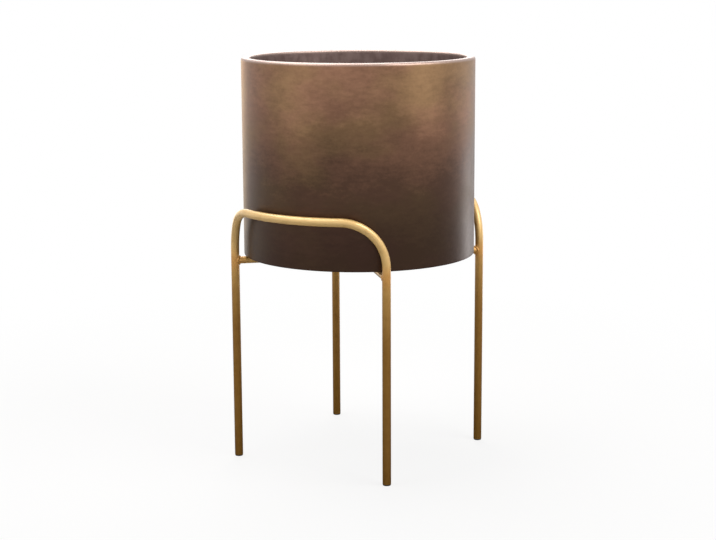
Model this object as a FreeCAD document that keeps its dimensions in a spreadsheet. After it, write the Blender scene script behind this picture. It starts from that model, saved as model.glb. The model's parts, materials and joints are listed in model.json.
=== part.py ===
import FreeCAD, Part
import math
import os
import Sketcher

# An elevated planter: a round sheet-metal pot that stands loose in a welded tube stand.
# +Z is up, the origin is on the floor below the middle of the pot, and -Y is the middle of the front hoop.

# Driving sizes in millimetres, one sheet cell each
SIZES = {
    # pot: a rolled drum with a turned-in lip, a flat floor and a drain hole
    "pot_diameter": 355.6,
    "pot_height": 300.0,
    "pot_sheet": 1.6,
    "lip_width": 12.4,
    "lip_outer_bend": 4.5,
    "lip_inner_bend": 2.6,
    "lip_return": 24.0,
    "floor_thickness": 2.0,
    "floor_clearance": 0.2,
    "floor_weld_leg": 4.0,
    "drain_diameter": 20.0,
    "drain_offset": 60.0,
    # hoops: bent tube, the crown standing clear of the pot all round
    "seat_height": 317.5,
    "tube_diameter": 12.7,
    "tube_wall": 1.2,
    "hoop_gap": 9.35,
    "hoop_rise": 75.0,
    "hoop_bend": 67.0,
    # crossed bars: tube a little slimmer than the legs that it is coped onto
    "bar_margin": 0.8,
    "bar_wall": 1.2,
    "bar_tip": 2.0,
    "leg_weld_radius": 2.0,
    "leg_weld_reach": 20.0,
    "centre_weld_radius": 3.0,
    "centre_weld_lap": 0.3,
    # rest pads: saddles on the bars, pressed flat on top by the pot
    "pad_thickness": 1.5,
    "pad_flat": 0.3,
    "pad_skirt": 1.5,
    "pad_length": 24.0,
    "pad_inset": 45.0,
    # foot plugs: barbed stems pushed into the tube ends
    "foot_head": 2.0,
    "foot_head_margin": 0.3,
    "foot_round": 0.9,
    "foot_stem": 14.0,
    "foot_barb": 0.5,
    "foot_clearance": 0.1,
    # drain plug: a soft stopper dropped in from inside the pot
    "plug_flange_lap": 7.0,
    "plug_flange_thickness": 3.0,
    "plug_flange_round": 1.0,
    "plug_clearance": 0.25,
    "plug_reach": 4.0,
    "plug_taper": 1.2,
    "plug_grip_diameter": 11.0,
    "plug_grip_height": 9.0,
    "plug_grip_round": 1.8,
    # how far cutting shapes pass the faces that they cut
    "overrun": 2.0,
}

# Degrees about +Z from +X: the middle of each hoop, the angle that its legs span, and the legs
HOOP_SPAN = 90
SQUARE = 90
FRONT = -SQUARE
REAR = FRONT + 2 * SQUARE
LEG_ANGLES = {
    "front_left": FRONT - HOOP_SPAN / 2,
    "front_right": FRONT + HOOP_SPAN / 2,
    "rear_right": REAR - HOOP_SPAN / 2,
    "rear_left": REAR + HOOP_SPAN / 2,
}
HOOP_TURNS = {"front_hoop": 0, "rear_hoop": REAR - FRONT}
THROUGH_BAR_ANGLE = LEG_ANGLES["rear_right"]
HALF_BAR_ANGLES = {"front_half_bar": LEG_ANGLES["front_right"], "rear_half_bar": LEG_ANGLES["rear_left"]}
FOOT_BARBS = 3
CENTRE_WELD_HEIGHT_SHARE = 0.6
SAME = 1e-6

# Sizes that follow from the driving ones, as sheet expressions
POT_RADIUS = "(sizes.pot_diameter / 2)"
POT_INSIDE = f"({POT_RADIUS} - sizes.pot_sheet)"
LIP_INSIDE = f"({POT_RADIUS} - sizes.lip_width)"
DRAIN_RADIUS = "(sizes.drain_diameter / 2)"
TUBE_RADIUS = "(sizes.tube_diameter / 2)"
TUBE_BORE = f"({TUBE_RADIUS} - sizes.tube_wall)"
LEG_CIRCLE = f"({POT_RADIUS} + sizes.hoop_gap + {TUBE_RADIUS})"
CROWN_HEIGHT = "(sizes.seat_height + sizes.hoop_rise)"
BAR_RADIUS = f"({TUBE_RADIUS} - sizes.bar_margin)"
BAR_BORE = f"({BAR_RADIUS} - sizes.bar_wall)"
PAD_TOP = f"({BAR_RADIUS} + sizes.pad_thickness - sizes.pad_flat)"
BAR_HEIGHT = f"(sizes.seat_height - {PAD_TOP})"
PAD_CIRCLE = f"({POT_RADIUS} - sizes.pad_inset)"

UP = FreeCAD.Vector(0, 0, 1)
ACROSS = FreeCAD.Vector(0, 1, 0)
LENGTHWISE = FreeCAD.Vector(1, 0, 0)

doc = FreeCAD.newDocument("elevated_planter")
sheet = doc.addObject("Spreadsheet::Sheet", "sizes")
for row, (name, size) in enumerate(SIZES.items(), start=1):
    sheet.set(f"A{row}", name)
    sheet.set(f"B{row}", str(size))
    sheet.setAlias(f"B{row}", name)
doc.recompute()

parts = {}


def value(expression):
    """The number that a sheet expression stands for."""
    return float(sheet.evalExpression(expression))


def keep(piece, label):
    """Names a finished sub-part and lists it for writing."""
    piece.Label = label
    parts[label] = piece
    return piece


def place(piece, x="0", y="0", z="0", turn=0):
    """Turns a piece about +Z and ties its position to the sheet."""
    piece.Placement = FreeCAD.Placement(FreeCAD.Vector(), FreeCAD.Rotation(UP, turn))
    for axis, expression in zip("xyz", (x, y, z)):
        piece.setExpression(f"Placement.Base.{axis}", expression)


def out_along(radius, angle):
    """The x and y expressions of a point at this radius and angle from the pot's axis."""
    return f"{radius} * cos({angle} deg)", f"{radius} * sin({angle} deg)"


# Sketches and the features made from them


def new_sketch(body, name, plane):
    """An empty sketch on one of the body's own origin planes."""
    sketch = body.newObject("Sketcher::SketchObject", name)
    support = next(item for item in body.Origin.OriginFeatures if item.Role == plane)
    sketch.AttachmentSupport = [(support, "")]
    sketch.MapMode = "FlatFace"
    return sketch


def pin_point(sketch, curve, end, x, y):
    """Holds one point of a curve at the place that two expressions give."""
    for kind, axis, expression in (("DistanceX", -2, x), ("DistanceY", -1, y)):
        if expression == "0":
            sketch.addConstraint(Sketcher.Constraint("PointOnObject", curve, end, axis))
            continue
        rule = Sketcher.Constraint(kind, -1, 1, curve, end, value(expression))
        index = sketch.addConstraint(rule)
        sketch.setExpression(f"Constraints[{index}]", expression)


def draw_outline(sketch, points):
    """A closed outline of straight lines through points given as pairs of expressions."""
    first = sketch.GeometryCount
    count = len(points)
    spots = [FreeCAD.Vector(value(x), value(y), 0) for x, y in points]
    for i in range(count):
        sketch.addGeometry(Part.LineSegment(spots[i], spots[(i + 1) % count]))
    for i in range(count):
        following = first + (i + 1) % count
        sketch.addConstraint(Sketcher.Constraint("Coincident", first + i, 2, following, 1))
    for i, (x, y) in enumerate(points):
        pin_point(sketch, first + i, 1, x, y)


def draw_circle(sketch, radius, x="0", y="0"):
    """A circle whose centre and radius follow the sheet."""
    centre = FreeCAD.Vector(value(x), value(y), 0)
    curve = sketch.addGeometry(Part.Circle(centre, UP, value(radius)))
    pin_point(sketch, curve, 3, x, y)
    index = sketch.addConstraint(Sketcher.Constraint("Radius", curve, value(radius)))
    sketch.setExpression(f"Constraints[{index}]", radius)


def new_body(label):
    """An empty body that will be one sub-part."""
    return keep(doc.addObject("PartDesign::Body", label), label)


def revolve(body, points):
    """Turns an upright half outline about the body's own Z axis."""
    sketch = new_sketch(body, "profile", "XZ_Plane")
    draw_outline(sketch, points)
    turned = body.newObject("PartDesign::Revolution", "turned")
    turned.Profile = sketch
    turned.ReferenceAxis = (sketch, ["V_Axis"])
    doc.recompute()
    return turned


def round_ring(body, base, radius, height, size):
    """Rounds the circular edge that lies at this radius and height."""
    rings = [
        f"Edge{i}"
        for i, edge in enumerate(base.Shape.Edges, start=1)
        if isinstance(edge.Curve, Part.Circle)
        and math.isclose(edge.Curve.Radius, value(radius), abs_tol=SAME)
        and math.isclose(edge.Curve.Center.z, value(height), abs_tol=SAME)
    ]
    rounded = body.newObject("PartDesign::Fillet", "rounded")
    rounded.Base = (base, rings)
    rounded.setExpression("Radius", size)
    doc.recompute()
    return rounded


def extrude(body, sketch, length, both_ways=False):
    """Pads a sketch along its normal."""
    pad = body.newObject("PartDesign::Pad", "pad")
    pad.Profile = sketch
    pad.setExpression("Length", length)
    pad.SideType = "Symmetric" if both_ways else "One side"
    doc.recompute()
    return pad


def cut_through(body, sketch):
    """Cuts a sketch right through the body, both ways, and makes sure that something was cut."""
    before = body.Shape.Volume
    pocket = body.newObject("PartDesign::Pocket", "cut")
    pocket.Profile = sketch
    pocket.Type = "ThroughAll"
    pocket.SideType = "Symmetric"
    doc.recompute()
    if not body.Shape.Volume < before:
        raise RuntimeError(f"{body.Label}: a cut removed nothing")
    return pocket


# Part solids for the shapes that booleans make best


def cylinder(radius, height, axis=UP, x="0", y="0", z="0"):
    """A round solid along axis, from a foot point given by expressions."""
    solid = doc.addObject("Part::Cylinder", "cylinder")
    solid.setExpression("Radius", radius)
    solid.setExpression("Height", height)
    solid.Placement = FreeCAD.Placement(FreeCAD.Vector(), FreeCAD.Rotation(UP, axis))
    for name, expression in zip("xyz", (x, y, z)):
        solid.setExpression(f"Placement.Base.{name}", expression)
    return solid


def fuse(*shapes):
    """One solid from several."""
    joined = doc.addObject("Part::MultiFuse", "joined")
    joined.Shapes = list(shapes)
    return joined


def cut(base, tool):
    """What is left of base outside tool."""
    left = doc.addObject("Part::Cut", "left")
    left.Base = base
    left.Tool = tool
    return left


# Hoops


def tangent_arc(start, corner, end):
    """The arc from start to end whose end tangents meet at corner, equally far from both."""
    middle = (start + end) * 0.5
    half_chord = (end - start).Length / 2
    reach = (corner - start).Length
    crest = middle + (corner - middle) * (half_chord / (half_chord + reach))
    return Part.Arc(start, crest, end).toShape()


def compound_bend(start, leaving, end, arriving):
    """Two arcs that join start to end, leaving and arriving in directions square to each other."""
    span = end - start
    forward = span.dot(leaving + arriving)
    reach = (math.sqrt(forward**2 + 2 * span.dot(span)) - forward) / 2
    first_corner = start + leaving * reach
    second_corner = end - arriving * reach
    joint = (first_corner + second_corner) * 0.5
    return [tangent_arc(start, first_corner, joint), tangent_arc(joint, second_corner, end)]


def hoop_line():
    """The front hoop's centreline: a leg, a bend, the crown round the pot, a bend and a leg."""
    circle = value(LEG_CIRCLE)
    bend = value("sizes.hoop_bend")
    crown = value(CROWN_HEIGHT)
    low = value("sizes.foot_head")
    left = math.radians(LEG_ANGLES["front_left"])
    right = math.radians(LEG_ANGLES["front_right"])
    left_shoulder = left + bend / circle
    right_shoulder = right - bend / circle

    def spot(angle, height):
        return FreeCAD.Vector(circle * math.cos(angle), circle * math.sin(angle), height)

    def sideways(angle):
        return FreeCAD.Vector(-math.sin(angle), math.cos(angle), 0)

    left_top = spot(left, crown - bend)
    right_top = spot(right, crown - bend)
    crown_left = spot(left_shoulder, crown)
    crown_middle = spot((left + right) / 2, crown)
    crown_right = spot(right_shoulder, crown)
    edges = [Part.LineSegment(spot(left, low), left_top).toShape()]
    edges += compound_bend(left_top, UP, crown_left, sideways(left_shoulder))
    edges.append(Part.Arc(crown_left, crown_middle, crown_right).toShape())
    edges += compound_bend(crown_right, sideways(right_shoulder), right_top, -UP)
    edges.append(Part.LineSegment(right_top, spot(right, low)).toShape())
    return Part.Wire(edges)


def swept_rod(path, radius):
    """A round rod of this radius along a path that starts straight up."""
    section = doc.addObject("Part::Circle", "section")
    section.setExpression("Radius", radius)
    section.Placement = FreeCAD.Placement(path.Shape.OrderedVertexes[0].Point, FreeCAD.Rotation())
    rod = doc.addObject("Part::Sweep", "rod")
    rod.Sections = [section]
    rod.Spine = (path, [f"Edge{i}" for i in range(1, len(path.Shape.Edges) + 1)])
    rod.Solid = True
    rod.Frenet = False
    return rod


def make_hoop(label, turn):
    """A bent tube hoop, turned from the front to its side of the stand."""
    path = doc.addObject("Part::Feature", f"{label}_line")
    path.Shape = hoop_line()
    tube = cut(swept_rod(path, TUBE_RADIUS), swept_rod(path, TUBE_BORE))
    place(tube, turn=turn)
    keep(tube, label)


# Crossed bars and their welds


def draw_tube(body):
    """The bar's ring-shaped section, square to the bar's length."""
    sketch = new_sketch(body, "section", "YZ_Plane")
    draw_circle(sketch, BAR_RADIUS)
    draw_circle(sketch, BAR_BORE)
    return sketch


def make_through_bar():
    """The bar that runs whole from leg to leg, each end coped to its leg."""
    body = new_body("through_bar")
    extrude(body, draw_tube(body), f"2 * {LEG_CIRCLE}", both_ways=True)
    copes = new_sketch(body, "copes", "XY_Plane")
    draw_circle(copes, TUBE_RADIUS, x=LEG_CIRCLE)
    draw_circle(copes, TUBE_RADIUS, x=f"-{LEG_CIRCLE}")
    cut_through(body, copes)
    place(body, z=BAR_HEIGHT, turn=THROUGH_BAR_ANGLE)


def make_half_bar(label, angle):
    """Half of the other diagonal, coped to its leg and over the through bar, with its sharp tips cut off."""
    body = new_body(label)
    section = draw_tube(body)
    section.setExpression("AttachmentOffset.Base.z", "sizes.bar_tip")
    extrude(body, section, f"{LEG_CIRCLE} - sizes.bar_tip")
    leg_cope = new_sketch(body, "leg_cope", "XY_Plane")
    draw_circle(leg_cope, TUBE_RADIUS, x=LEG_CIRCLE)
    cut_through(body, leg_cope)
    bar_cope = new_sketch(body, "bar_cope", "XZ_Plane")
    slant = FreeCAD.Rotation(ACROSS, SQUARE - HOOP_SPAN)
    bar_cope.AttachmentOffset = FreeCAD.Placement(FreeCAD.Vector(), slant)
    draw_circle(bar_cope, BAR_RADIUS)
    cut_through(body, bar_cope)
    place(body, z=BAR_HEIGHT, turn=angle)


def make_leg_weld(label, angle):
    """The bead round a bar's end: the round between bar and leg, without the bar and the leg."""
    reach = "sizes.leg_weld_reach"
    leg = cylinder(TUBE_RADIUS, f"2 * {reach}", x=LEG_CIRCLE, z=f"-{reach}")
    bar = cylinder(BAR_RADIUS, reach, axis=LENGTHWISE, x=f"{LEG_CIRCLE} - {reach}")
    joint = fuse(leg, bar)
    doc.recompute()
    numbered = enumerate(joint.Shape.Edges, start=1)
    seams = [i for i, edge in numbered if isinstance(edge.Curve, Part.BSplineCurve)]
    size = value("sizes.leg_weld_radius")
    rounded = doc.addObject("Part::Fillet", "rounded")
    rounded.Base = joint
    rounded.Edges = [(i, size, size) for i in seams]
    bead = cut(rounded, joint)
    place(bead, z=BAR_HEIGHT, turn=angle)
    keep(bead, label)


def make_centre_welds():
    """Beads in the four corners where the bars cross, hollow outside and kept below the bars' tops."""
    corner = f"({BAR_RADIUS} + sizes.centre_weld_radius - sizes.centre_weld_lap)"
    rise = f"({CENTRE_WELD_HEIGHT_SHARE} * {BAR_RADIUS})"
    block = doc.addObject("Part::Box", "block")
    block.setExpression("Length", f"2 * {corner}")
    block.setExpression("Width", f"2 * {corner}")
    block.setExpression("Height", f"2 * {rise}")
    for axis, expression in zip("xyz", (corner, corner, rise)):
        block.setExpression(f"Placement.Base.{axis}", f"-{expression}")
    far = f"({corner} + sizes.overrun)"
    hollows = [
        cylinder("sizes.centre_weld_radius", f"2 * {far}", x=x, y=y, z=f"-{far}")
        for x in (corner, f"-{corner}")
        for y in (corner, f"-{corner}")
    ]
    beads = cut(block, fuse(*hollows))
    for angle in (0, HOOP_SPAN):
        along_bar = FreeCAD.Vector(math.cos(math.radians(angle)), math.sin(math.radians(angle)), 0)
        x, y = out_along(f"-{far}", angle)
        beads = cut(beads, cylinder(BAR_RADIUS, f"2 * {far}", axis=along_bar, x=x, y=y))
    place(beads, z=BAR_HEIGHT, turn=THROUGH_BAR_ANGLE)
    keep(beads, "centre_welds")


# Pads and feet


def make_rest_pad(label, angle):
    """A saddle over the bar: a ring trimmed off below and pressed flat where the pot stands on it."""
    body = new_body(label)
    section = new_sketch(body, "section", "YZ_Plane")
    outside = f"({BAR_RADIUS} + sizes.pad_thickness)"
    draw_circle(section, outside)
    draw_circle(section, BAR_RADIUS)
    extrude(body, section, "sizes.pad_length", both_ways=True)
    far = f"({outside} + sizes.overrun)"
    trim = new_sketch(body, "trim", "YZ_Plane")
    for low, high in ((f"-{far}", "sizes.pad_skirt"), (PAD_TOP, far)):
        draw_outline(trim, [(f"-{far}", low), (far, low), (far, high), (f"-{far}", high)])
    cut_through(body, trim)
    x, y = out_along(PAD_CIRCLE, angle)
    place(body, x=x, y=y, z=BAR_HEIGHT, turn=angle)


def make_foot_plug(label, angle):
    """A foot that closes the tube's end: a round head and a stem with barbs."""
    body = new_body(label)
    head = f"({TUBE_RADIUS} - sizes.foot_head_margin)"
    barb = f"({TUBE_BORE} - sizes.foot_clearance)"
    core = f"({barb} - sizes.foot_barb)"
    points = [("0", "0"), (head, "0"), (head, "sizes.foot_head"), (core, "sizes.foot_head")]
    pitch = f"(sizes.foot_stem / {FOOT_BARBS + 1})"
    for i in range(1, FOOT_BARBS + 1):
        foot = f"(sizes.foot_head + {i} * {pitch})"
        points.append((core, foot))
        points.append((barb, foot))
        points.append((core, f"({foot} + {pitch} / 2)"))
    points.append((core, "(sizes.foot_head + sizes.foot_stem)"))
    points.append(("0", "(sizes.foot_head + sizes.foot_stem)"))
    turned = revolve(body, points)
    round_ring(body, turned, head, "0", "sizes.foot_round")
    x, y = out_along(LEG_CIRCLE, angle)
    place(body, x=x, y=y, turn=angle)


# Pot


def make_pot_wall():
    """The rolled wall with its lip turned in and down, the bends of one sheet thickness throughout."""
    body = new_body("pot_wall")
    top = "sizes.pot_height"
    under_lip = "(sizes.pot_height - sizes.pot_sheet)"
    return_end = "(sizes.pot_height - sizes.lip_return)"
    return_back = f"({LIP_INSIDE} + sizes.pot_sheet)"
    points = [
        (POT_RADIUS, "0"),
        (POT_RADIUS, top),
        (LIP_INSIDE, top),
        (LIP_INSIDE, return_end),
        (return_back, return_end),
        (return_back, under_lip),
        (POT_INSIDE, under_lip),
        (POT_INSIDE, "0"),
    ]
    shape = revolve(body, points)
    for radius, height, size in (
        (POT_RADIUS, top, "sizes.lip_outer_bend"),
        (LIP_INSIDE, top, "sizes.lip_inner_bend"),
        (POT_INSIDE, under_lip, "sizes.lip_outer_bend - sizes.pot_sheet"),
        (return_back, under_lip, "sizes.lip_inner_bend - sizes.pot_sheet"),
    ):
        shape = round_ring(body, shape, radius, height, size)
    place(body, z="sizes.seat_height")


def make_pot_floor():
    """The flat disc inside the wall's foot, with the drain hole towards the front, clear of the bars."""
    body = new_body("pot_floor")
    disc = new_sketch(body, "disc", "XY_Plane")
    draw_circle(disc, f"{POT_INSIDE} - sizes.floor_clearance")
    extrude(body, disc, "sizes.floor_thickness")
    drain = new_sketch(body, "drain", "XY_Plane")
    draw_circle(drain, DRAIN_RADIUS, y="-sizes.drain_offset")
    cut_through(body, drain)
    place(body, z="sizes.seat_height")


def make_floor_weld():
    """The bead in the inside corner of floor and wall."""
    body = new_body("floor_weld")
    points = [
        (POT_INSIDE, "sizes.floor_thickness"),
        (POT_INSIDE, "(sizes.floor_thickness + sizes.floor_weld_leg)"),
        (f"({POT_INSIDE} - sizes.floor_weld_leg)", "sizes.floor_thickness"),
    ]
    revolve(body, points)
    place(body, z="sizes.seat_height")


def make_drain_plug():
    """The stopper: a tapered stem through the floor, a flange on the floor and a grip to pull it by."""
    body = new_body("drain_plug")
    stem = f"({DRAIN_RADIUS} - sizes.plug_clearance)"
    flange = f"({DRAIN_RADIUS} + sizes.plug_flange_lap)"
    grip = "(sizes.plug_grip_diameter / 2)"
    below = "(-sizes.floor_thickness - sizes.plug_reach)"
    flange_top = "sizes.plug_flange_thickness"
    grip_top = "(sizes.plug_flange_thickness + sizes.plug_grip_height)"
    points = [
        ("0", below),
        (f"({stem} - sizes.plug_taper)", below),
        (stem, "-sizes.floor_thickness"),
        (stem, "0"),
        (flange, "0"),
        (flange, flange_top),
        (grip, flange_top),
        (grip, grip_top),
        ("0", grip_top),
    ]
    shape = revolve(body, points)
    shape = round_ring(body, shape, flange, flange_top, "sizes.plug_flange_round")
    round_ring(body, shape, grip, grip_top, "sizes.plug_grip_round")
    place(body, y="-sizes.drain_offset", z="sizes.seat_height + sizes.floor_thickness")


def build():
    for label, turn in HOOP_TURNS.items():
        make_hoop(label, turn)
    make_through_bar()
    for label, angle in HALF_BAR_ANGLES.items():
        make_half_bar(label, angle)
    make_centre_welds()
    for corner, angle in LEG_ANGLES.items():
        make_leg_weld(f"weld_{corner}", angle)
        make_rest_pad(f"rest_pad_{corner}", angle)
        make_foot_plug(f"foot_plug_{corner}", angle)
    make_pot_wall()
    make_pot_floor()
    make_floor_weld()
    make_drain_plug()
    doc.recompute()


def check():
    """Stops if anything in the document failed or a sub-part has no sound shape."""
    for item in doc.Objects:
        if "Invalid" in item.State or "Error" in item.State:
            raise RuntimeError(f"{item.Label} failed: {item.State}")
    for label, piece in parts.items():
        if piece.Shape.isNull() or not piece.Shape.isValid() or not piece.Shape.Solids:
            raise RuntimeError(f"{label} has no sound shape")


def write():
    """Writes each sub-part to its own file and prints what it measures."""
    os.makedirs("parts", exist_ok=True)
    for label, piece in parts.items():
        piece.Shape.exportStep(f"parts/{label}.step")
        solids = len(piece.Shape.Solids)
        top = piece.Shape.BoundBox.ZMax
        print(f"{label}: solids {solids}, {piece.Shape.Volume:.0f} mm3, top at {top:.2f} mm")


build()
check()
write()
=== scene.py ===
# %% [markdown]
# # An elevated planter
# The planter is a round pot of rolled sheet metal, patinated like old bronze, that stands loose in a stand
# of bent and welded brass-finish tube. The shapes come from the CAD model, which is loaded here as a fixed
# frame in metres: +Z is up, the origin is on the floor below the pot, and -Y is the middle of the front hoop.
# This lesson gives that model a camera, a studio and its finishes. The hoops, the pot's wall and the weld
# beads are made anew on the same lines, with finer surfaces.

# %% Load the frame
import json
import math

import bmesh
import bpy
from mathutils import Matrix, Vector


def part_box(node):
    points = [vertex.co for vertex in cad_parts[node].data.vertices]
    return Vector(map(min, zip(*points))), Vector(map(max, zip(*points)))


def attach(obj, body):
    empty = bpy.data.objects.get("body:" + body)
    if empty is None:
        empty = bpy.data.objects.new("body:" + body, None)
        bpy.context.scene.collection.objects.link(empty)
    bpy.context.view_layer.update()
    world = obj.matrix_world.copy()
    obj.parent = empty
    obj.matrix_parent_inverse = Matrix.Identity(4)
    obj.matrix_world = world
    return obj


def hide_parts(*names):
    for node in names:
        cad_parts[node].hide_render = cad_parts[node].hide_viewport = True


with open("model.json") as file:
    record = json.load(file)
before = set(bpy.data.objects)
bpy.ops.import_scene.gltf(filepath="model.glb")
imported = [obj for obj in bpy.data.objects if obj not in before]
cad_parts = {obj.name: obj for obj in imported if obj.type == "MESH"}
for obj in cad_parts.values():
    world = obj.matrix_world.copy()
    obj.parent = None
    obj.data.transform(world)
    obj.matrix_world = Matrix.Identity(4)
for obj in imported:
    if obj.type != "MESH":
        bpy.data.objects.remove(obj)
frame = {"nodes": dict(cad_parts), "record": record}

scene = bpy.context.scene
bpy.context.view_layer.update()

# %% [markdown]
# ## Writing shader maths as Python
# A material is a tree of nodes, and wiring it link by link hides what it computes. Here a Wire stands for
# one socket, and sums or products of wires add the Math nodes. A Recipe owns a tree and has one method that
# adds any other node: settings first, because they decide which sockets there are, and then the sockets.

# %% Wires and recipes


class Wire:
    """A value inside a node tree. Arithmetic on wires adds Math nodes."""

    def __init__(self, recipe, socket):
        self.recipe = recipe
        self.socket = socket

    def work(self, operation, first, second):
        return self.recipe.node("ShaderNodeMath", {"operation": operation}, {0: first, 1: second})

    def __add__(self, other):
        return self.work("ADD", self, other)

    def __sub__(self, other):
        return self.work("SUBTRACT", self, other)

    def __rsub__(self, other):
        return self.work("SUBTRACT", other, self)

    def __mul__(self, other):
        return self.work("MULTIPLY", self, other)

    def or_more(self, other):
        return self.work("MAXIMUM", self, other)

    __radd__ = __add__
    __rmul__ = __mul__


class Recipe:
    """A node tree and the one way of adding nodes to it."""

    def __init__(self, tree):
        self.tree = tree
        tree.nodes.clear()

    def node(self, kind, settings=None, sockets=None, out=0):
        """Adds a node, sets it up, fills its sockets with values or wires, and gives one of its outputs."""
        made = self.tree.nodes.new(kind)
        for name, setting in (settings or {}).items():
            if name == "stops":
                self.fill_ramp(made.color_ramp, setting)
            else:
                setattr(made, name, setting)
        for name, value in (sockets or {}).items():
            if isinstance(value, Wire):
                self.tree.links.new(value.socket, made.inputs[name])
            else:
                made.inputs[name].default_value = value
        return Wire(self, made.outputs[out]) if made.outputs else None

    def fill_ramp(self, ramp, stops):
        while len(ramp.elements) < len(stops):
            ramp.elements.new(1.0)
        for element, (position, colour) in zip(ramp.elements, stops):
            element.position = position
            element.color = colour


print("Wires and recipes are ready")

# %% [markdown]
# ## Camera
# The photograph was taken from the front right, a little above the rim, with a long lens. The camera could be
# placed by eye, but then nothing else can be compared. So the lens, the distance and the tilt were fitted to
# the ellipse of the rim, the legs and the feet. The lens has no shift, so other views frame the planter alike.

# %% Set up the camera
PICTURE_WIDTH = 716
SENSOR_WIDTH = 36.0
FOCAL_PIXELS = 1611.76
CAMERA_DISTANCE = 2.4643
CAMERA_HEIGHT = 0.7624
CAMERA_AZIMUTH = math.radians(33.29)
CAMERA_YAW = 0.00074
CAMERA_PITCH = 0.19065
CAMERA_ROLL = -0.00498

camera = bpy.data.objects.new("camera", bpy.data.cameras.new("camera"))
scene.collection.objects.link(camera)
camera.data.sensor_width = SENSOR_WIDTH
camera.data.lens = FOCAL_PIXELS / PICTURE_WIDTH * SENSOR_WIDTH
camera.location = (
    CAMERA_DISTANCE * math.sin(CAMERA_AZIMUTH),
    -CAMERA_DISTANCE * math.cos(CAMERA_AZIMUTH),
    CAMERA_HEIGHT,
)
aim = (
    Matrix.Rotation(CAMERA_AZIMUTH + CAMERA_YAW, 3, "Z")
    @ Matrix.Rotation(math.radians(90) - CAMERA_PITCH, 3, "X")
    @ Matrix.Rotation(CAMERA_ROLL, 3, "Z")
)
camera.rotation_euler = aim.to_euler()
scene.camera = camera
print("Lens in mm:", round(camera.data.lens, 2), "at", [round(v, 3) for v in camera.location])

# %% [markdown]
# ## World
# The photograph is cut out, so the planter stands on plain white. A world that is white for every ray would
# also light the planter from all sides and wash out its shades. So the world is white only for rays that look
# at it, straight or by way of a mirror or glass, and much dimmer as a source of light.

# %% Paint the world
AMBIENT = 0.2
WHITE = (1.0, 1.0, 1.0, 1.0)


def rays(recipe, first, *others):
    """1 for rays of any of these kinds, else 0."""
    found = recipe.node("ShaderNodeLightPath", out=f"Is {first} Ray")
    return found.or_more(rays(recipe, *others)) if others else found


def between(factor, first, second):
    """A number that goes from the first to the second as the factor goes from 0 to 1."""
    return first + (second - first) * factor


scene.view_settings.view_transform = "Standard"
world = bpy.data.worlds.new("studio")
world.use_nodes = True
scene.world = world
air = Recipe(world.node_tree)
strength = between(rays(air, "Camera", "Glossy", "Transmission"), AMBIENT, 1.0)
sky = air.node("ShaderNodeBackground", {}, {"Color": WHITE, "Strength": strength})
air.node("ShaderNodeOutputWorld", {}, {"Surface": sky})
print("World strength: 1 when looked at,", AMBIENT, "as a lamp")

# %% [markdown]
# ## Floor
# The floor is a wide pale disc. Looked at straight it is nearly the world's white, so that no edge shows, and
# it keeps a faint shadow round the feet. Upright metal mirrors the floor in front of it. For rays that come
# by way of metal the floor is painted shade: a dark glowing sheet below the pot and a grey one round the
# feet, turning white further off. This painted shade darkens the legs and the pot downwards.

# %% Helpers for finishes


def new_finish(name):
    """An empty material and the recipe that fills it."""
    material = bpy.data.materials.new(name)
    material.use_nodes = True
    return material, Recipe(material.node_tree)


def spot_of(paint):
    """Where a point of the piece is, in metres of the frame."""
    return paint.node("ShaderNodeTexCoord", out="Object")


def stretch(vector, scales):
    return vector.recipe.node("ShaderNodeVectorMath", {"operation": "MULTIPLY"}, {0: vector, 1: scales})


def off_axis(vector):
    """How far a point is from the pot's upright axis."""
    flat = stretch(vector, (1.0, 1.0, 0.0))
    return vector.recipe.node("ShaderNodeVectorMath", {"operation": "LENGTH"}, {0: flat}, out="Value")


def smooth(value, low, high):
    """0 below low, 1 above high, and an even S between them."""
    sockets = {"Value": value, "From Min": low, "From Max": high}
    return value.recipe.node("ShaderNodeMapRange", {"interpolation_type": "SMOOTHSTEP"}, sockets)


def mix(factor, first, second):
    """A colour between two."""
    settings = {"data_type": "RGBA"}
    return factor.recipe.node("ShaderNodeMix", settings, {0: factor, 6: first, 7: second}, out=2)


def mix_shaders(factor, first, second):
    return factor.recipe.node("ShaderNodeMixShader", {}, {0: factor, 1: first, 2: second})


print("Helpers for finishes are ready")

# %% Lay the floor
FLOOR_RADIUS = 10.0
FLOOR_SIDES = 96
FLOOR_COLOUR = (0.84, 0.83, 0.82, 1.0)
# Painted shade: metal mirrors these two glowing colours, grey round the feet and dark below the pot.
PAINTED_SHADE_ROUND_FEET = (0.26, 0.256, 0.252, 1.0)
PAINTED_SHADE_BELOW_POT = (0.05, 0.048, 0.046, 1.0)
WHITENESS_AT_FEET = 0.82
SHADE_FADES = (0.4, 1.3)
BELOW_POT_SHADE_FADES = (0.12, 0.42)
PAINTED_SHADE_FADES = (0.6, 2.5)

floor_finish, paint = new_finish("studio_floor")
away = off_axis(spot_of(paint))
lit = paint.node("ShaderNodeBsdfDiffuse", {}, {"Color": FLOOR_COLOUR})
blank = paint.node("ShaderNodeEmission", {}, {"Color": WHITE})
whiteness = between(smooth(away, *SHADE_FADES), WHITENESS_AT_FEET, 1.0)
looked_at = mix_shaders(whiteness * rays(paint, "Camera"), lit, blank)
# The painted shade below the pot and round the feet, seen only by way of metal.
painted_shade = mix(smooth(away, *BELOW_POT_SHADE_FADES), PAINTED_SHADE_BELOW_POT, PAINTED_SHADE_ROUND_FEET)
painted_shade = paint.node("ShaderNodeEmission", {}, {"Color": painted_shade})
mirrored = mix_shaders(smooth(away, *PAINTED_SHADE_FADES), painted_shade, blank)
surface = mix_shaders(rays(paint, "Glossy", "Transmission"), looked_at, mirrored)
paint.node("ShaderNodeOutputMaterial", {}, {"Surface": surface})

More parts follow.
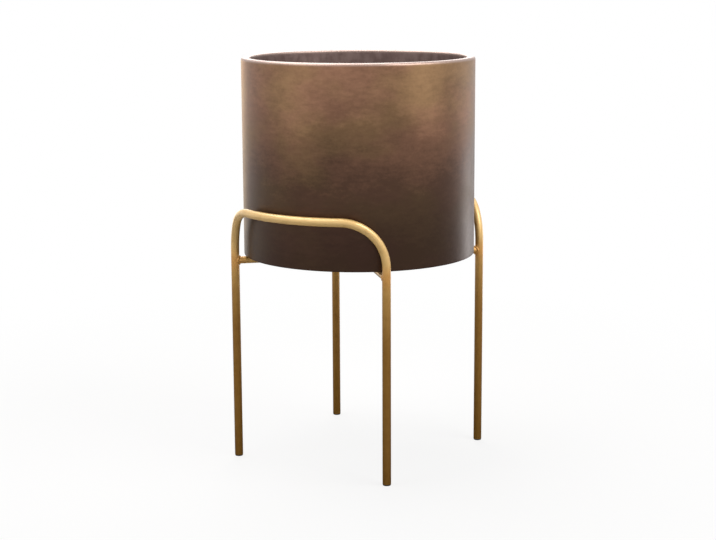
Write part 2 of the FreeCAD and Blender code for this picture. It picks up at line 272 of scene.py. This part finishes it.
bpy.ops.mesh.primitive_circle_add(vertices=FLOOR_SIDES, radius=FLOOR_RADIUS, fill_type="NGON")
floor = bpy.context.object
floor.name = "studio_floor"
floor.data.materials.append(floor_finish)
print("Floor across in metres:", 2 * FLOOR_RADIUS)

# %% [markdown]
# ## Lamps
# Soft light on metal means large lamps, because metal shows the lamp itself. Two softboxes hang high on both
# sides of the camera, the right one stronger, and a lamp overhead lights the lip and the floor. Together they
# give the crowns of the hoops their long highlight. Three more lamps stand behind the planter: they draw the
# pale edges down the pot's sides, a little warm on the left, and the bright line along the far lip.

# %% Hang the lamps
LAMP_AIM = Vector((0, 0, 0.45))
WATTS_FOR_WHITE = 4
PLAIN_LIGHT = (1.0, 1.0, 1.0)
WARM_LIGHT = (1.0, 0.7, 0.36)


def hang_lamp(name, turn, height, distance, size, brightness, colour=PLAIN_LIGHT):
    """A square area lamp, turned from the camera's direction about the pot, that faces the pot's middle.

    A mirror shows it as plain white at a brightness of 1, whatever its size.
    """
    angle = CAMERA_AZIMUTH + math.radians(turn)
    data = bpy.data.lights.new(name, "AREA")
    data.size = size
    data.energy = WATTS_FOR_WHITE * brightness * size**2
    data.color = colour
    lamp = bpy.data.objects.new(name, data)
    scene.collection.objects.link(lamp)
    lamp.visible_camera = False
    lamp.location = (distance * math.sin(angle), -distance * math.cos(angle), height)
    lamp.rotation_euler = (LAMP_AIM - lamp.location).to_track_quat("-Z", "Y").to_euler()
    print(name, "brightness", brightness, "at", [round(v, 2) for v in lamp.location])


hang_lamp("softbox_left", turn=-58, height=1.7, distance=1.25, size=0.9, brightness=1.8)
hang_lamp("softbox_right", turn=58, height=1.65, distance=1.25, size=1.0, brightness=4.2)
hang_lamp("overhead", turn=-140, height=1.8, distance=0.5, size=1.3, brightness=3.2)
hang_lamp("behind", turn=180, height=1.45, distance=2.4, size=1.5, brightness=1.7)
hang_lamp("behind_left", turn=-153, height=0.4, distance=2.2, size=0.8, brightness=1.1, colour=WARM_LIGHT)
hang_lamp("behind_right", turn=128, height=0.14, distance=1.3, size=0.36, brightness=2.6)

# %% [markdown]
# ## Bronze patina, outside
# The pot's sheet is darkened with a patina and wiped back by hand, with clouds, faint strokes of the cloth
# and fine speckle. It runs from tan near the rim to umber towards the foot: partly the patina, partly painted
# shade of the light falling from above. A picture wrapped round the pot would show a seam.
# Noise in the frame's own metres has none, so height, wiping, clouds, strokes and speckle add up to one
# number, the tone, and a ramp of four bronzes turns it into colour.

# %% Helpers for worn metal


def tinted(colour, tint):
    settings = {"data_type": "RGBA", "blend_type": "MULTIPLY"}
    return colour.recipe.node("ShaderNodeMix", settings, {0: 1.0, 6: colour, 7: tint}, out=2)


def near(vector, middle, reach):
    """1 at a point, and 0 beyond its reach."""
    away = vector.recipe.node(
        "ShaderNodeVectorMath", {"operation": "DISTANCE"}, {0: vector, 1: middle}, out="Value"
    )
    return 1 - smooth(away, 0.0, reach)


def noise(vector, scale, detail=2.0, roughness=0.5):
    sockets = {"Vector": vector, "Scale": scale, "Detail": detail, "Roughness": roughness}
    return vector.recipe.node("ShaderNodeTexNoise", {}, sockets)


def swing(layer, amount):
    """A noise as a change up and down about nothing."""
    return amount * (layer - 0.5)


print("Helpers for worn metal are ready")

# %% Outside of the pot
POT_FOOT, POT_RIM = (corner.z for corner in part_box("pot_wall"))
DARK_BRONZE = (0.050, 0.0245, 0.0140, 1.0)
UMBER_BRONZE = (0.085, 0.0455, 0.0255, 1.0)
BROWN_BRONZE = (0.20, 0.109, 0.0605, 1.0)
GOLD_BRONZE = (0.42, 0.24, 0.135, 1.0)
BRONZES = [(0.0, DARK_BRONZE), (0.33, UMBER_BRONZE), (0.65, BROWN_BRONZE), (1.0, GOLD_BRONZE)]
OLIVE_TINT = (0.97, 1.0, 0.88, 1.0)
ROSE_TINT = (1.0, 0.91, 0.97, 1.0)
# Where the tone rises from the foot to the rim: partly patina, partly painted shade.
PATINA_AND_SHADE_RISES = (POT_FOOT - 0.025, POT_RIM + 0.02)
ROSE_RANGE = (0.38, 0.62)
HEIGHT_PATINA_AND_SHADE_SHARE = 0.8
WIPING_SHARE = 0.17
# Less than 1 along z makes a noise taller, more than 1 lays it flatter.
UPRIGHT = (1.0, 1.0, 0.6)
LEVEL = (1.0, 1.0, 1.5)
DRAWN_OUT = (1.0, 1.0, 2.5)
# Each patch has its stretch, its middle after the stretch, and its reach.
WIPED_PATCHES = [
    ((1.5, 1.5, 0.75), (0.015, -0.267, 0.409), 0.09),
    ((1.3, 1.3, 0.45), (0.2113, -0.0945, 0.25), 0.072),
]

pot_bronze, paint = new_finish("pot_bronze")
spot = spot_of(paint)
z = paint.node("ShaderNodeSeparateXYZ", {}, {0: spot}, out="Z")
wiped = stretch(spot, LEVEL)
drifts = noise(stretch(spot, UPRIGHT), scale=8.0)
clouds = noise(wiped, scale=14.0, detail=5.0, roughness=0.55)
strokes = noise(stretch(spot, DRAWN_OUT), scale=70.0, detail=4.0, roughness=0.6)
speckle = noise(spot, scale=260.0)
# Darker towards the foot: partly the patina, partly painted shade of the light from above.
tone = HEIGHT_PATINA_AND_SHADE_SHARE * smooth(z, *PATINA_AND_SHADE_RISES)
for scales, middle, reach in WIPED_PATCHES:
    tone = tone + WIPING_SHARE * near(stretch(spot, scales), middle, reach)
for layer, amount in ((drifts, 0.35), (clouds, 0.4), (strokes, 0.27), (speckle, 0.12)):
    tone = tone + swing(layer, amount)
outside = paint.node("ShaderNodeValToRGB", {"stops": BRONZES}, {"Fac": tone})
rosy = smooth(noise(wiped, scale=8.0, detail=3.0), *ROSE_RANGE)
outside = tinted(outside, mix(rosy, OLIVE_TINT, ROSE_TINT))
print("Patina from", round(POT_FOOT, 4), "to", round(POT_RIM, 4), "m")

# %% [markdown]
# ## Bronze patina, inside
# Inside, the sheet was left dark and dull. At the rim it is turned in and down, and this lip is paler, with
# streaks that the wiping left on it: partly its own purple-grey, partly painted light falling in from above.
# Hands and leaves rub its top, which is paler still. One material covers the whole pot, because it is one
# finish, and distance from the axis and height tell the outside, the lining and the lip apart.

# %% Inside of the pot, and its lip
LINING_DARK = (0.040, 0.026, 0.021, 1.0)
LINING_PALE = (0.085, 0.057, 0.047, 1.0)
# The lip's own purple-grey, painted paler than the lining as painted light falling in from above.
LIP_DARK = (0.22, 0.148, 0.132, 1.0)
LIP_PALE = (0.33, 0.235, 0.213, 1.0)
RUBBED_BRONZE = (0.36, 0.26, 0.222, 1.0)
STREAK_RANGE = (0.3, 0.7)
LIP_STARTS = (POT_RIM - 0.026, POT_RIM - 0.023)
RUBBING_STARTS = (POT_RIM - 0.0055, POT_RIM - 0.001)
OUTSIDE_STARTS = (0.1765, 0.1774)
LINING_METALLIC, POLISHED_METALLIC = 0.35, 0.9
LINING_ROUGHNESS, POLISHED_ROUGHNESS = 0.62, 0.44


def bump(height, distance):
    return height.recipe.node("ShaderNodeBump", {}, {"Height": height, "Distance": distance})


def coat_with(paint, sockets):
    """The shader that ends a finish."""
    shader = paint.node("ShaderNodeBsdfPrincipled", {}, sockets)
    paint.node("ShaderNodeOutputMaterial", {}, {"Surface": shader})


streaks = smooth(noise(stretch(spot, UPRIGHT), scale=80.0, detail=4.0), *STREAK_RANGE)
lip = smooth(z, *LIP_STARTS)
# Lining dark, lip paler: the lip's paleness is partly painted light from above.
inside = mix(lip, mix(clouds, LINING_DARK, LINING_PALE), mix(streaks, LIP_DARK, LIP_PALE))
skin = smooth(off_axis(spot), *OUTSIDE_STARTS)
rubbed = smooth(z + swing(clouds, 0.001), *RUBBING_STARTS)
polished = skin.or_more(lip)
roughness = between(polished, LINING_ROUGHNESS, POLISHED_ROUGHNESS)
coat_with(
    paint,
    {
        "Base Color": mix(rubbed, mix(skin, inside, outside), RUBBED_BRONZE),
        "Metallic": between(polished, LINING_METALLIC, POLISHED_METALLIC),
        "Roughness": roughness + swing(clouds, 0.2) + swing(speckle, 0.1),
        "Normal": bump(clouds + 0.1 * speckle, distance=0.0003),
        "Coat Weight": 0.15,
        "Coat Roughness": 0.3,
    },
)
print("Pot finish nodes:", len(pot_bronze.node_tree.nodes))

# %% [markdown]
# ## Antique brass
# The stand is steel tube with a brass finish under clear lacquer. Its colour is painted lighter towards the
# crowns of the hoops and darker towards the feet: painted light from above and painted shade towards the
# floor. On the crowns it is paler still, a painted highlight, where the lacquer is thickest. The heat of the
# welds turned it a little redder where the bars meet the legs, and faint tarnish mottles it all over. A fine
# grain breaks up the highlights. It is bump and roughness, not shape, because it is far too small to model.

# %% Stand finish
LEG_CIRCLE = 0.1935
BAR_HEIGHT = 0.31075
# Painted shade and light: darker brass towards the feet, lighter towards the crowns.
SHADED_FEET_BRASS = (0.33, 0.158, 0.023, 1.0)
LIT_BRASS = (0.82, 0.49, 0.13, 1.0)
# Painted highlight: the paler brass of the crowns.
CROWN_HIGHLIGHT_BRASS = (0.89, 0.58, 0.21, 1.0)
TARNISH_TINT = (0.88, 0.84, 0.76, 1.0)
HEAT_TINT = (1.0, 0.80, 0.55, 1.0)
HEAT_REACH = 0.026
PAINTED_LIGHT_RISES = (0.19, 0.41)
LACQUER_AND_HIGHLIGHT_RISES = (0.28, 0.37)
TARNISH_RANGE = (0.45, 0.75)
LOWER_METALLIC, UPPER_METALLIC = 0.85, 0.35
BRASS_ROUGHNESS = 0.48
THIN_LACQUER, THICK_LACQUER = 0.45, 1.0

stand_brass, paint = new_finish("stand_brass")
spot = spot_of(paint)
z = paint.node("ShaderNodeSeparateXYZ", {}, {0: spot}, out="Z")
grain = noise(spot, scale=420.0, detail=3.0)
drift = noise(spot, scale=9.0, detail=3.0)
mottles = noise(spot, scale=85.0, detail=5.0, roughness=0.6)
# Painted light from above and painted shade towards the feet.
painted_light = smooth(z + swing(drift, 0.06), *PAINTED_LIGHT_RISES)
# Painted highlight on the crowns, where the lacquer is also thickest.
lacquer_and_highlight = smooth(z, *LACQUER_AND_HIGHLIGHT_RISES)
brass = mix(lacquer_and_highlight, mix(painted_light, SHADED_FEET_BRASS, LIT_BRASS), CROWN_HIGHLIGHT_BRASS)
brass = mix(smooth(mottles, *TARNISH_RANGE), brass, tinted(brass, TARNISH_TINT))
one_corner = paint.node("ShaderNodeVectorMath", {"operation": "ABSOLUTE"}, {0: spot})
leg_side = LEG_CIRCLE * math.sqrt(0.5)
heated = near(one_corner, (leg_side, leg_side, BAR_HEIGHT), HEAT_REACH)
coat_with(
    paint,
    {
        "Base Color": mix(heated, brass, tinted(brass, HEAT_TINT)),
        "Metallic": between(painted_light, LOWER_METALLIC, UPPER_METALLIC),
        "Roughness": BRASS_ROUGHNESS + swing(grain, 0.12) + swing(drift, 0.1) + swing(mottles, 0.2),
        "Normal": bump(grain, distance=0.00003),
        "Coat Weight": between(lacquer_and_highlight, THIN_LACQUER, THICK_LACQUER),
        "Coat Roughness": 0.22,
    },
)
print("Stand finish nodes:", len(stand_brass.node_tree.nodes))

# %% [markdown]
# ## Plastic and rubber
# Small dark parts finish the planter: plugs of moulded plastic close the ends of the legs, and the pads on
# the bars and the stopper of the drain hole are rubber. Both are matt. What tells them apart is the grain of
# the mould, finer and deeper on the rubber, and the plastic's slight gloss.

# %% Small dark finishes
PLASTIC_DARK = (0.03, 0.022, 0.015, 1.0)
PLASTIC_PALE = (0.06, 0.045, 0.03, 1.0)
RUBBER_DARK = (0.018, 0.017, 0.016, 1.0)
RUBBER_PALE = (0.045, 0.042, 0.038, 1.0)


def moulded(name, scale, dark, pale, roughness, depth):
    """A matt moulding whose grain shows in colour, gloss and surface."""
    material, paint = new_finish(name)
    grain = noise(spot_of(paint), scale)
    coat_with(
        paint,
        {
            "Base Color": mix(grain, dark, pale),
            "Roughness": roughness + swing(grain, 0.2),
            "Normal": bump(grain, depth),
        },
    )
    print(name, "grain per metre:", scale)
    return material


foot_plastic = moulded("foot_plastic", 900.0, PLASTIC_DARK, PLASTIC_PALE, roughness=0.55, depth=0.0001)
rubber = moulded("rubber", 1100.0, RUBBER_DARK, RUBBER_PALE, roughness=0.75, depth=0.00015)

# %% [markdown]
# ## Dressing the nodes
# The CAD model says for each node which slot its finish comes from. The bars, the pot's floor, the pads and
# the plugs already have the right shapes, so they stay and only change their material. The hoops, the pot's
# wall and the welds are dressed as well, but the next steps put finer pieces in their place.

# %% Dress the nodes
FINISHES = {
    "stand_brass": stand_brass,
    "pot_bronze": pot_bronze,
    "foot_plastic": foot_plastic,
    "pad_rubber": rubber,
    "plug_rubber": rubber,
}

for subpart in frame["record"]["subparts"]:
    node = frame["nodes"][subpart["node"]]
    node.data.materials.clear()
    node.data.materials.append(FINISHES[subpart["material_slot"]])

# %% [markdown]
# ## Sweeping a round section
# Bent tubes and weld beads are the same kind of shape: a round section carried along a line. A curve with a
# bevel could make both, but Blender then chooses how its rings are turned. Here each point of the line says
# which way its ring faces and how thick it is, and one helper lays the rings and joins them with faces.

# %% Sweep a section along a line


def finish_mesh(name, mesh, flat_faces=()):
    """A new object from a bmesh, smooth but for its flat faces and their edges."""
    for face in mesh.faces:
        face.smooth = True
    for face in flat_faces:
        face.smooth = False
        for edge in face.edges:
            edge.smooth = False
    bmesh.ops.recalc_face_normals(mesh, faces=mesh.faces)
    data = bpy.data.meshes.new(name)
    mesh.to_mesh(data)
    mesh.free()
    piece = bpy.data.objects.new(name, data)
    scene.collection.objects.link(piece)
    print(name, "faces:", len(data.polygons))
    return piece


def sweep(name, runs, sides, closed=False):
    """One piece of round sweeps. Each run is a row of points, each with a way out to its side and a radius."""
    mesh = bmesh.new()
    ends = []
    turns = [math.tau * k / sides for k in range(sides)]
    for run in runs:
        rings = []
        last = len(run) - 1
        for i, (point, outward, radius) in enumerate(run):
            before = run[i - 1][0] if closed or i else point
            after = run[(i + 1) % len(run)][0] if closed or i < last else point
            along = (after - before).normalized()
            side = (outward - along * outward.dot(along)).normalized()
            lift = along.cross(side)
            spokes = [math.cos(a) * side + math.sin(a) * lift for a in turns]
            rings.append([mesh.verts.new(point + radius * spoke) for spoke in spokes])
        pairs = list(zip(rings, rings[1:]))
        if closed:
            pairs.append((rings[-1], rings[0]))
        else:
            ends += [mesh.faces.new(rings[0][::-1]), mesh.faces.new(rings[-1])]
        for here, there in pairs:
            for k in range(sides):
                j = (k + 1) % sides
                mesh.faces.new((here[k], here[j], there[j], there[k]))
    return finish_mesh(name, mesh, ends)


print("Sweeping is ready")

# %% [markdown]
# ## Hoops
# Each hoop is one tube, bent over a former: a leg, a bend, the crown round the pot, a bend and a leg. The CAD
# nodes have this line too, but their facets break the long highlight on the crown. Here the line is drawn
# again, each bend as two arcs that run on smoothly into leg and crown, and a fine section follows it.

# %% Draw a bend
ARC_STEPS = 14


def arc(start, corner, end):
    """Points after start on the arc to end, whose end tangents meet at corner."""
    ahead = (corner - start).normalized()
    onward = (end - corner).normalized()
    turn = ahead.angle(onward)
    aside = (onward - ahead * math.cos(turn)) / math.sin(turn)
    radius = (corner - start).length / math.tan(turn / 2)
    angles = [turn * k / ARC_STEPS for k in range(1, ARC_STEPS + 1)]
    return [start + radius * (math.sin(a) * ahead + (1 - math.cos(a)) * aside) for a in angles]


def compound_bend(start, leaving, end, arriving):
    """Points after start on two arcs to end, which leave and arrive in directions square to each other."""
    span = end - start
    forward = span.dot(leaving + arriving)
    reach = (math.sqrt(forward**2 + 2 * span.dot(span)) - forward) / 2
    first_corner = start + leaving * reach
    second_corner = end - arriving * reach
    joint = (first_corner + second_corner) / 2
    return arc(start, first_corner, joint) + arc(joint, second_corner, end)


print("A bend has", 2 * ARC_STEPS, "steps")

# %% Draw the line of a hoop
LEG_ANGLE = math.radians(45)
CROWN_HEIGHT = 0.3925
HOOP_BEND = 0.067
HOOP_FOOT = 0.002
CROWN_STEPS = 60
NEAR_LEG_TOP = 0.02
UP = Vector((0, 0, 1))


def on_leg_circle(angle, height):
    return Vector((LEG_CIRCLE * math.cos(angle), LEG_CIRCLE * math.sin(angle), height))


shoulder = LEG_ANGLE - HOOP_BEND / LEG_CIRCLE
leg_top = on_leg_circle(LEG_ANGLE, CROWN_HEIGHT - HOOP_BEND)
leg_foot = on_leg_circle(LEG_ANGLE, HOOP_FOOT)
crown_end = on_leg_circle(shoulder, CROWN_HEIGHT)
crown_way = Vector((-math.sin(shoulder), math.cos(shoulder), 0))
rising = [leg_foot, leg_top.lerp(leg_foot, NEAR_LEG_TOP), leg_top]
rising += compound_bend(leg_top, UP, crown_end, -crown_way)
crown_angles = [shoulder * (1 - 2 * k / CROWN_STEPS) for k in range(1, CROWN_STEPS)]
falling = [Vector((p.x, -p.y, p.z)) for p in reversed(rising)]
hoop_line = rising + [on_leg_circle(angle, CROWN_HEIGHT) for angle in crown_angles] + falling
print("Points of the line:", len(hoop_line))

# %% Bend the hoops
LEG_RADIUS = 0.00635
HOOP_SIDES = 32
HOOP_TURNS = {"front_hoop": -90, "rear_hoop": 90}


def put_in_place(piece, node, body, slot):
    """Lets a new piece stand for a CAD node, on its body and with its finish."""
    piece.data.materials.append(FINISHES[slot])
    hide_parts(node)
    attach(piece, body)


for name, degrees in HOOP_TURNS.items():
    turn = Matrix.Rotation(math.radians(degrees), 3, "Z")
    run = [(turn @ p, turn @ Vector((p.x, p.y, 0)), LEG_RADIUS) for p in hoop_line]
    hoop = sweep(f"{name}_tube", [run], HOOP_SIDES)
    put_in_place(hoop, name, "stand", "stand_brass")

# %% [markdown]
# ## Pot shell
# The wall is one sheet, rolled into a drum and turned in and down at the rim. Its CAD node is right in shape,
# but the facets of the lip are uneven, and a highlight on them looks torn. Turning the sheet's outline about
# the axis, as on a lathe, gives even rings. Every bend has a few points of its own, and a guard point on both
# sides of it keeps the long flat stretches flat.

# %% Outline of the sheet
POT_RADIUS = 0.1778
SHEET = 0.0016
LIP_WIDTH = 0.0124
LIP_DEPTH = 0.024
LIP_INSIDE = POT_RADIUS - LIP_WIDTH
LIP_END = POT_RIM - LIP_DEPTH
OUTER_BEND = 0.0045
INNER_BEND = 0.0026
CUT_EDGE = 0.0004
BEND_POINTS = 9
GUARD = 0.003
SHEET_CORNERS = [
    (POT_RADIUS, POT_FOOT, CUT_EDGE),
    (POT_RADIUS, POT_RIM, OUTER_BEND),
    (LIP_INSIDE, POT_RIM, INNER_BEND),
    (LIP_INSIDE, LIP_END, CUT_EDGE),
    (LIP_INSIDE + SHEET, LIP_END, CUT_EDGE),
    (LIP_INSIDE + SHEET, POT_RIM - SHEET, INNER_BEND - SHEET),
    (POT_RADIUS - SHEET, POT_RIM - SHEET, OUTER_BEND - SHEET),
    (POT_RADIUS - SHEET, POT_FOOT, CUT_EDGE),
]


def rounded_outline(corners):
    """The points of a closed outline with square corners, each rounded by its own radius."""
    outline = []
    for i, (out, height, bend) in enumerate(corners):
        corner = Vector((out, height))
        ways = []
        for neighbour in (corners[i - 1], corners[(i + 1) % len(corners)]):
            way = Vector(neighbour[:2]) - corner
            free = way.length - bend - neighbour[2]
            ways.append((way.normalized(), bend + min(GUARD, free / 3)))
        (back, back_guard), (on, on_guard) = ways
        middle = corner + (back + on) * bend
        outline.append(corner + back * back_guard)
        for k in range(BEND_POINTS):
            angle = math.radians(90) * k / (BEND_POINTS - 1)
            outline.append(middle - bend * (math.cos(angle) * on + math.sin(angle) * back))
        outline.append(corner + on * on_guard)
    return outline


outline = rounded_outline(SHEET_CORNERS)
print("Points of the sheet's outline:", len(outline))

# %% Turn the pot shell
TURNING_STEPS = 240

mesh = bmesh.new()
rings = []
for i in range(TURNING_STEPS):
    angle = math.tau * i / TURNING_STEPS
    rings.append([mesh.verts.new((p.x * math.cos(angle), p.x * math.sin(angle), p.y)) for p in outline])
for i, here in enumerate(rings):
    there = rings[(i + 1) % TURNING_STEPS]
    for k in range(len(outline)):
        j = (k + 1) % len(outline)
        mesh.faces.new((here[k], there[k], there[j], here[j]))
shell = finish_mesh("pot_shell", mesh)
put_in_place(shell, "pot_wall", "pot", "pot_bronze")

# %% [markdown]
# ## Weld beads
# The bars are welded to the legs and to each other, and the pot's floor to its wall. A weld sets in small
# ripples, one behind the other, which the smooth CAD beads leave out. Each bead here is a sweep along the
# corner that it fills, a little thicker at every ripple, and it takes the place of its CAD node.

# %% Ripples of a bead
BEAD_SIDES = 10
RIPPLE = 0.16


def ripple(share, count):
    """How much thicker a bead is at this share of its length."""
    return 1 + RIPPLE * abs(math.sin(math.pi * share * count))


print("A ripple adds", round(100 * RIPPLE), "% to a bead")

# %% [markdown]
# A bar meets its leg along a saddle, the line where two round tubes cross. Going once round the bar gives the
# line: each step goes out to the leg's wall, which is nearest at the bar's top and bottom.

# %% Beads of the bars on the legs
BAR_RADIUS = 0.00555
LEG_BEAD = 0.0017
LEG_BEAD_STEPS = 108
LEG_BEAD_RIPPLES = 18
LEG_TURNS = {"front_left": -135, "front_right": -45, "rear_right": 45, "rear_left": 135}

saddle = []
for i in range(LEG_BEAD_STEPS):
    share = i / LEG_BEAD_STEPS
    sideways, upwards = math.cos(math.tau * share), math.sin(math.tau * share)
    across = BAR_RADIUS * sideways
    inset = math.sqrt(LEG_RADIUS**2 - across**2)
    point = Vector((LEG_CIRCLE - inset, across, BAR_HEIGHT + BAR_RADIUS * upwards))
    off_bar = Vector((0, sideways, upwards))
    off_leg = Vector((-inset, across, 0)) / LEG_RADIUS
    saddle.append((point, off_bar + off_leg, LEG_BEAD * ripple(share, LEG_BEAD_RIPPLES)))
for corner, degrees in LEG_TURNS.items():
    turn = Matrix.Rotation(math.radians(degrees), 3, "Z")
    run = [(turn @ point, turn @ outward, thickness) for point, outward, thickness in saddle]
    bead = sweep(f"bead_{corner}", [run], BEAD_SIDES, closed=True)
    put_in_place(bead, f"weld_{corner}", "stand", "stand_brass")

# %% [markdown]
# Where the bars cross, four short beads stand upright in the corners. They thin out towards both ends.

# %% Beads where the bars cross
CENTRE_BEAD = 0.0019
CENTRE_BEAD_RISE = 0.0034
CENTRE_BEAD_STEPS = 24
CENTRE_BEAD_RIPPLES = 4
CENTRE_TURNS = (0, 90, 180, 270)

runs = []
for degrees in CENTRE_TURNS:
    turn = Matrix.Rotation(math.radians(degrees), 3, "Z")
    outward = turn @ Vector((1, 0, 0))
    run = []
    for i in range(1, CENTRE_BEAD_STEPS):
        share = i / CENTRE_BEAD_STEPS
        rise = CENTRE_BEAD_RISE * (2 * share - 1)
        reach = math.sqrt(2 * (BAR_RADIUS**2 - rise**2))
        swell = math.sqrt(math.sin(math.pi * share)) * ripple(share, CENTRE_BEAD_RIPPLES)
        run.append((turn @ Vector((reach, 0, BAR_HEIGHT + rise)), outward, CENTRE_BEAD * swell))
    runs.append(run)
bead = sweep("centre_beads", runs, BEAD_SIDES)
put_in_place(bead, "centre_welds", "stand", "stand_brass")

# %% [markdown]
# The floor's bead runs once round inside the pot. Its middle stands off the corner, so that the bead sinks
# into wall and floor without coming out on their other side.

# %% Bead of the pot's floor
FLOOR_BEAD = 0.0021
FLOOR_BEAD_CIRCLE = 0.1751
FLOOR_BEAD_HEIGHT = 0.3206
FLOOR_BEAD_RIPPLES = 200
FLOOR_BEAD_STEPS = 4 * FLOOR_BEAD_RIPPLES

run = []
for i in range(FLOOR_BEAD_STEPS):
    share = i / FLOOR_BEAD_STEPS
    out = Vector((math.cos(math.tau * share), math.sin(math.tau * share), 0))
    point = FLOOR_BEAD_CIRCLE * out + FLOOR_BEAD_HEIGHT * UP
    run.append((point, UP - out, FLOOR_BEAD * ripple(share, FLOOR_BEAD_RIPPLES)))
bead = sweep("floor_bead", [run], BEAD_SIDES, closed=True)
put_in_place(bead, "floor_weld", "pot", "pot_bronze")
